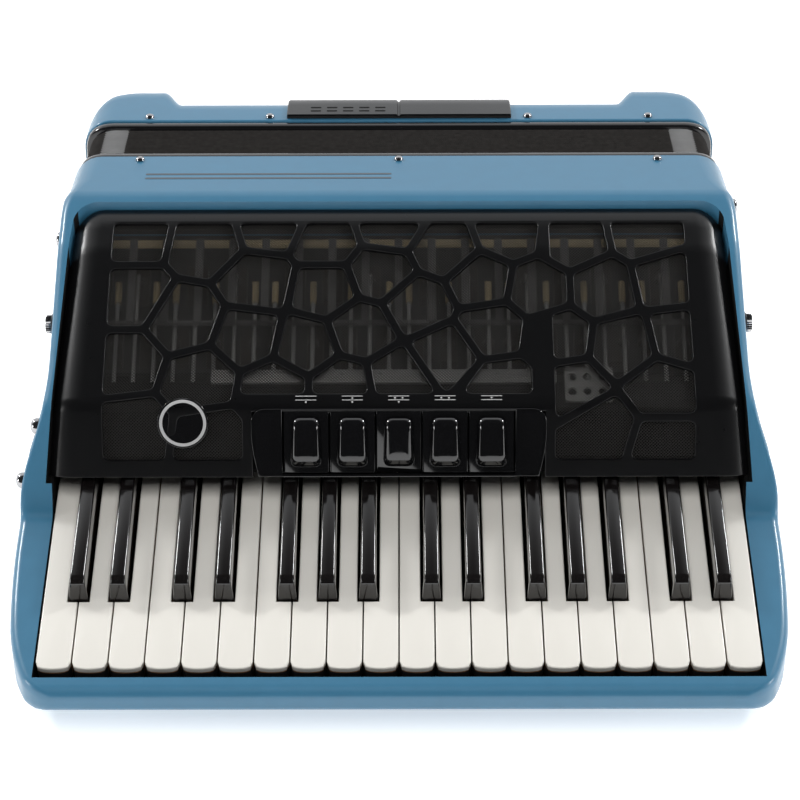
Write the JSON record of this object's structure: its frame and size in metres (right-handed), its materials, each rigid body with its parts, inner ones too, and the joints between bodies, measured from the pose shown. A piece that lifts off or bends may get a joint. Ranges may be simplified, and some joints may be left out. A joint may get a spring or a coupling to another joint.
{
  "type": "piano accordion",
  "caption": "Piano accordion, closed and lying on its back: sloping keyboard, open-cell grille over key levers, register switches, bellows and a bass side with hand strap.",
  "frame": {"origin": "on the resting plane, under the middle of the closed instrument's box", "axes": "+X along the keyboard towards the high notes, +Y from the keyboard to the bass side, +Z out of the grille (up, as it lies on its back)"},
  "size_m": [0.4024, 0.4208, 0.19],
  "materials": {
    "blue_paint": "satin lacquer over wood and moulded shell",
    "white_key_plastic": "polished ivory-white key covering",
    "black_key_plastic": "polished black",
    "black_gloss_plastic": "high gloss moulded",
    "black_satin_plastic": "satin moulded",
    "black_mesh": "fine woven screen",
    "bright_steel": "bright",
    "pale_wood": "bare, finely sanded",
    "bellows_card": "cloth-covered folded card with metal corners",
    "black_frame": "black lacquered",
    "black_leather": "soft, grained",
    "button_plastic": "polished"
  },
  "bodies": {
    "treble": {"fingerboard": "blue_paint", "treble_casing": "blue_paint", "key_rod": "bright_steel", "treble_soundboard": "pale_wood", "treble_reed_block": "pale_wood", "grille_cover": "black_gloss_plastic", "grille_mesh": "black_mesh", "register_housing": "black_gloss_plastic", "bellows": "bellows_card", "bellows_frame_treble": "black_frame"},
    "bass": {"bass_casing": "blue_paint", "bass_grille": "black_satin_plastic", "bass_button_panel": "black_satin_plastic", "bass_reed_block": "pale_wood", "bellows_frame_bass": "black_frame", "bass_strap": "black_leather"},
    "bass_buttons": {"bass_buttons": "button_plastic"},
    "air_button": {"air_button": "button_plastic"},
    "strap_wheel": {"strap_wheel": "black_satin_plastic"},
    "bellows_strap_top": {"bellows_strap_top": "black_leather"},
    "bellows_strap_bottom": {"bellows_strap_bottom": "black_leather"},
    "white_key_01": {"white_key_01": "white_key_plastic"},
    "white_key_02": {"white_key_02": "white_key_plastic"},
    "white_key_03": {"white_key_03": "white_key_plastic"},
    "white_key_04": {"white_key_04": "white_key_plastic"},
    "white_key_05": {"white_key_05": "white_key_plastic"},
    "white_key_06": {"white_key_06": "white_key_plastic"},
    "white_key_07": {"white_key_07": "white_key_plastic"},
    "white_key_08": {"white_key_08": "white_key_plastic"},
    "white_key_09": {"white_key_09": "white_key_plastic"},
    "white_key_10": {"white_key_10": "white_key_plastic"},
    "white_key_11": {"white_key_11": "white_key_plastic"},
    "white_key_12": {"white_key_12": "white_key_plastic"},
    "white_key_13": {"white_key_13": "white_key_plastic"},
    "white_key_14": {"white_key_14": "white_key_plastic"},
    "white_key_15": {"white_key_15": "white_key_plastic"},
    "white_key_16": {"white_key_16": "white_key_plastic"},
    "white_key_17": {"white_key_17": "white_key_plastic"},
    "white_key_18": {"white_key_18": "white_key_plastic"},
    "white_key_19": {"white_key_19": "white_key_plastic"},
    "white_key_20": {"white_key_20": "white_key_plastic"},
    "black_key_01": {"black_key_01": "black_key_plastic"},
    "black_key_02": {"black_key_02": "black_key_plastic"},
    "black_key_03": {"black_key_03": "black_key_plastic"},
    "black_key_04": {"black_key_04": "black_key_plastic"},
    "black_key_05": {"black_key_05": "black_key_plastic"},
    "black_key_06": {"black_key_06": "black_key_plastic"},
    "black_key_07": {"black_key_07": "black_key_plastic"},
    "black_key_08": {"black_key_08": "black_key_plastic"},
    "black_key_09": {"black_key_09": "black_key_plastic"},
    "black_key_10": {"black_key_10": "black_key_plastic"},
    "black_key_11": {"black_key_11": "black_key_plastic"},
    "black_key_12": {"black_key_12": "black_key_plastic"},
    "black_key_13": {"black_key_13": "black_key_plastic"},
    "black_key_14": {"black_key_14": "black_key_plastic"},
    "register_switch_1": {"register_switch_1": "black_gloss_plastic"},
    "register_switch_2": {"register_switch_2": "black_gloss_plastic"},
    "register_switch_3": {"register_switch_3": "black_gloss_plastic"},
    "register_switch_4": {"register_switch_4": "black_gloss_plastic"},
    "register_switch_5": {"register_switch_5": "black_gloss_plastic"}
  },
  "joints": [
    {"name": "bellows_draw", "type": "slide", "parent": "treble", "child": "bass", "axis": [0, 1, 0], "range_m": [0, 0.25], "deforming": ["bellows"]},
    {"name": "white_key_01_rock", "type": "hinge", "parent": "treble", "child": "white_key_01", "pos_m": [0, -0.05547, 0.07002], "axis": [1, 0, 0], "range_deg": [0, 2], "stiffness_Nm_per_rad": 0.6, "springref_deg": -14.32},
    {"name": "white_key_02_rock", "type": "hinge", "parent": "treble", "child": "white_key_02", "pos_m": [0, -0.05547, 0.07002], "axis": [1, 0, 0], "range_deg": [0, 2], "stiffness_Nm_per_rad": 0.6, "springref_deg": -14.32},
    {"name": "white_key_03_rock", "type": "hinge", "parent": "treble", "child": "white_key_03", "pos_m": [0, -0.05547, 0.07002], "axis": [1, 0, 0], "range_deg": [0, 2], "stiffness_Nm_per_rad": 0.6, "springref_deg": -14.32},
    {"name": "white_key_04_rock", "type": "hinge", "parent": "treble", "child": "white_key_04", "pos_m": [0, -0.05547, 0.07002], "axis": [1, 0, 0], "range_deg": [0, 2], "stiffness_Nm_per_rad": 0.6, "springref_deg": -14.32},
    {"name": "white_key_05_rock", "type": "hinge", "parent": "treble", "child": "white_key_05", "pos_m": [0, -0.05547, 0.07002], "axis": [1, 0, 0], "range_deg": [0, 2], "stiffness_Nm_per_rad": 0.6, "springref_deg": -14.32},
    {"name": "white_key_06_rock", "type": "hinge", "parent": "treble", "child": "white_key_06", "pos_m": [0, -0.05547, 0.07002], "axis": [1, 0, 0], "range_deg": [0, 2], "stiffness_Nm_per_rad": 0.6, "springref_deg": -14.32},
    {"name": "white_key_07_rock", "type": "hinge", "parent": "treble", "child": "white_key_07", "pos_m": [0, -0.05547, 0.07002], "axis": [1, 0, 0], "range_deg": [0, 2], "stiffness_Nm_per_rad": 0.6, "springref_deg": -14.32},
    {"name": "white_key_08_rock", "type": "hinge", "parent": "treble", "child": "white_key_08", "pos_m": [0, -0.05547, 0.07002], "axis": [1, 0, 0], "range_deg": [0, 2], "stiffness_Nm_per_rad": 0.6, "springref_deg": -14.32},
    {"name": "white_key_09_rock", "type": "hinge", "parent": "treble", "child": "white_key_09", "pos_m": [0, -0.05547, 0.07002], "axis": [1, 0, 0], "range_deg": [0, 2], "stiffness_Nm_per_rad": 0.6, "springref_deg": -14.32},
    {"name": "white_key_10_rock", "type": "hinge", "parent": "treble", "child": "white_key_10", "pos_m": [0, -0.05547, 0.07002], "axis": [1, 0, 0], "range_deg": [0, 2], "stiffness_Nm_per_rad": 0.6, "springref_deg": -14.32},
    {"name": "white_key_11_rock", "type": "hinge", "parent": "treble", "child": "white_key_11", "pos_m": [0, -0.05547, 0.07002], "axis": [1, 0, 0], "range_deg": [0, 2], "stiffness_Nm_per_rad": 0.6, "springref_deg": -14.32},
    {"name": "white_key_12_rock", "type": "hinge", "parent": "treble", "child": "white_key_12", "pos_m": [0, -0.05547, 0.07002], "axis": [1, 0, 0], "range_deg": [0, 2], "stiffness_Nm_per_rad": 0.6, "springref_deg": -14.32},
    {"name": "white_key_13_rock", "type": "hinge", "parent": "treble", "child": "white_key_13", "pos_m": [0, -0.05547, 0.07002], "axis": [1, 0, 0], "range_deg": [0, 2], "stiffness_Nm_per_rad": 0.6, "springref_deg": -14.32},
    {"name": "white_key_14_rock", "type": "hinge", "parent": "treble", "child": "white_key_14", "pos_m": [0, -0.05547, 0.07002], "axis": [1, 0, 0], "range_deg": [0, 2], "stiffness_Nm_per_rad": 0.6, "springref_deg": -14.32},
    {"name": "white_key_15_rock", "type": "hinge", "parent": "treble", "child": "white_key_15", "pos_m": [0, -0.05547, 0.07002], "axis": [1, 0, 0], "range_deg": [0, 2], "stiffness_Nm_per_rad": 0.6, "springref_deg": -14.32},
    {"name": "white_key_16_rock", "type": "hinge", "parent": "treble", "child": "white_key_16", "pos_m": [0, -0.05547, 0.07002], "axis": [1, 0, 0], "range_deg": [0, 2], "stiffness_Nm_per_rad": 0.6, "springref_deg": -14.32},
    {"name": "white_key_17_rock", "type": "hinge", "parent": "treble", "child": "white_key_17", "pos_m": [0, -0.05547, 0.07002], "axis": [1, 0, 0], "range_deg": [0, 2], "stiffness_Nm_per_rad": 0.6, "springref_deg": -14.32},
    {"name": "white_key_18_rock", "type": "hinge", "parent": "treble", "child": "white_key_18", "pos_m": [0, -0.05547, 0.07002], "axis": [1, 0, 0], "range_deg": [0, 2], "stiffness_Nm_per_rad": 0.6, "springref_deg": -14.32},
    {"name": "white_key_19_rock", "type": "hinge", "parent": "treble", "child": "white_key_19", "pos_m": [0, -0.05547, 0.07002], "axis": [1, 0, 0], "range_deg": [0, 2], "stiffness_Nm_per_rad": 0.6, "springref_deg": -14.32},
    {"name": "white_key_20_rock", "type": "hinge", "parent": "treble", "child": "white_key_20", "pos_m": [0, -0.05547, 0.07002], "axis": [1, 0, 0], "range_deg": [0, 2], "stiffness_Nm_per_rad": 0.6, "springref_deg": -14.32},
    {"name": "black_key_01_rock", "type": "hinge", "parent": "treble", "child": "black_key_01", "pos_m": [0, -0.05547, 0.07002], "axis": [1, 0, 0], "range_deg": [0, 2], "stiffness_Nm_per_rad": 0.6, "springref_deg": -14.32},
    {"name": "black_key_02_rock", "type": "hinge", "parent": "treble", "child": "black_key_02", "pos_m": [0, -0.05547, 0.07002], "axis": [1, 0, 0], "range_deg": [0, 2], "stiffness_Nm_per_rad": 0.6, "springref_deg": -14.32},
    {"name": "black_key_03_rock", "type": "hinge", "parent": "treble", "child": "black_key_03", "pos_m": [0, -0.05547, 0.07002], "axis": [1, 0, 0], "range_deg": [0, 2], "stiffness_Nm_per_rad": 0.6, "springref_deg": -14.32},
    {"name": "black_key_04_rock", "type": "hinge", "parent": "treble", "child": "black_key_04", "pos_m": [0, -0.05547, 0.07002], "axis": [1, 0, 0], "range_deg": [0, 2], "stiffness_Nm_per_rad": 0.6, "springref_deg": -14.32},
    {"name": "black_key_05_rock", "type": "hinge", "parent": "treble", "child": "black_key_05", "pos_m": [0, -0.05547, 0.07002], "axis": [1, 0, 0], "range_deg": [0, 2], "stiffness_Nm_per_rad": 0.6, "springref_deg": -14.32},
    {"name": "black_key_06_rock", "type": "hinge", "parent": "treble", "child": "black_key_06", "pos_m": [0, -0.05547, 0.07002], "axis": [1, 0, 0], "range_deg": [0, 2], "stiffness_Nm_per_rad": 0.6, "springref_deg": -14.32},
    {"name": "black_key_07_rock", "type": "hinge", "parent": "treble", "child": "black_key_07", "pos_m": [0, -0.05547, 0.07002], "axis": [1, 0, 0], "range_deg": [0, 2], "stiffness_Nm_per_rad": 0.6, "springref_deg": -14.32},
    {"name": "black_key_08_rock", "type": "hinge", "parent": "treble", "child": "black_key_08", "pos_m": [0, -0.05547, 0.07002], "axis": [1, 0, 0], "range_deg": [0, 2], "stiffness_Nm_per_rad": 0.6, "springref_deg": -14.32},
    {"name": "black_key_09_rock", "type": "hinge", "parent": "treble", "child": "black_key_09", "pos_m": [0, -0.05547, 0.07002], "axis": [1, 0, 0], "range_deg": [0, 2], "stiffness_Nm_per_rad": 0.6, "springref_deg": -14.32},
    {"name": "black_key_10_rock", "type": "hinge", "parent": "treble", "child": "black_key_10", "pos_m": [0, -0.05547, 0.07002], "axis": [1, 0, 0], "range_deg": [0, 2], "stiffness_Nm_per_rad": 0.6, "springref_deg": -14.32},
    {"name": "black_key_11_rock", "type": "hinge", "parent": "treble", "child": "black_key_11", "pos_m": [0, -0.05547, 0.07002], "axis": [1, 0, 0], "range_deg": [0, 2], "stiffness_Nm_per_rad": 0.6, "springref_deg": -14.32},
    {"name": "black_key_12_rock", "type": "hinge", "parent": "treble", "child": "black_key_12", "pos_m": [0, -0.05547, 0.07002], "axis": [1, 0, 0], "range_deg": [0, 2], "stiffness_Nm_per_rad": 0.6, "springref_deg": -14.32},
    {"name": "black_key_13_rock", "type": "hinge", "parent": "treble", "child": "black_key_13", "pos_m": [0, -0.05547, 0.07002], "axis": [1, 0, 0], "range_deg": [0, 2], "stiffness_Nm_per_rad": 0.6, "springref_deg": -14.32},
    {"name": "black_key_14_rock", "type": "hinge", "parent": "treble", "child": "black_key_14", "pos_m": [0, -0.05547, 0.07002], "axis": [1, 0, 0], "range_deg": [0, 2], "stiffness_Nm_per_rad": 0.6, "springref_deg": -14.32},
    {"name": "register_switch_1_tilt", "type": "hinge", "parent": "treble", "child": "register_switch_1", "pos_m": [0, -0.08003, 0.11385], "axis": [1, 0, 0], "range_deg": [0, 5], "stiffness_Nm_per_rad": 0.05},
    {"name": "register_switch_2_tilt", "type": "hinge", "parent": "treble", "child": "register_switch_2", "pos_m": [0, -0.08003, 0.11385], "axis": [1, 0, 0], "range_deg": [0, 5], "stiffness_Nm_per_rad": 0.05},
    {"name": "register_switch_3_tilt", "type": "hinge", "parent": "treble", "child": "register_switch_3", "pos_m": [0, -0.08003, 0.11385], "axis": [1, 0, 0], "range_deg": [-5, 0], "stiffness_Nm_per_rad": 0.05},
    {"name": "register_switch_4_tilt", "type": "hinge", "parent": "treble", "child": "register_switch_4", "pos_m": [0, -0.08003, 0.11385], "axis": [1, 0, 0], "range_deg": [0, 5], "stiffness_Nm_per_rad": 0.05},
    {"name": "register_switch_5_tilt", "type": "hinge", "parent": "treble", "child": "register_switch_5", "pos_m": [0, -0.08003, 0.11385], "axis": [1, 0, 0], "range_deg": [0, 5], "stiffness_Nm_per_rad": 0.05},
    {"name": "bass_buttons_press", "type": "slide", "parent": "bass", "child": "bass_buttons", "axis": [0, -1, 0], "range_m": [0, 0.003], "stiffness_N_per_m": 300, "springref_m": -0.003},
    {"name": "air_button_press", "type": "slide", "parent": "bass", "child": "air_button", "axis": [0, -1, 0], "range_m": [0, 0.004], "stiffness_N_per_m": 200, "springref_m": -0.003},
    {"name": "strap_wheel_turn", "type": "hinge", "parent": "bass", "child": "strap_wheel", "pos_m": [-0.179, 0.1591, 0.106], "axis": [0, 1, 0], "continuous": true},
    {"name": "bellows_strap_top_swing", "type": "hinge", "parent": "treble", "child": "bellows_strap_top", "pos_m": [-0.1875, 0.0531, 0.045], "axis": [1, 0, 0], "range_deg": [0, 90]},
    {"name": "bellows_strap_bottom_swing", "type": "hinge", "parent": "treble", "child": "bellows_strap_bottom", "pos_m": [0.1875, 0.0531, 0.045], "axis": [1, 0, 0], "range_deg": [0, 90]}
  ]
}
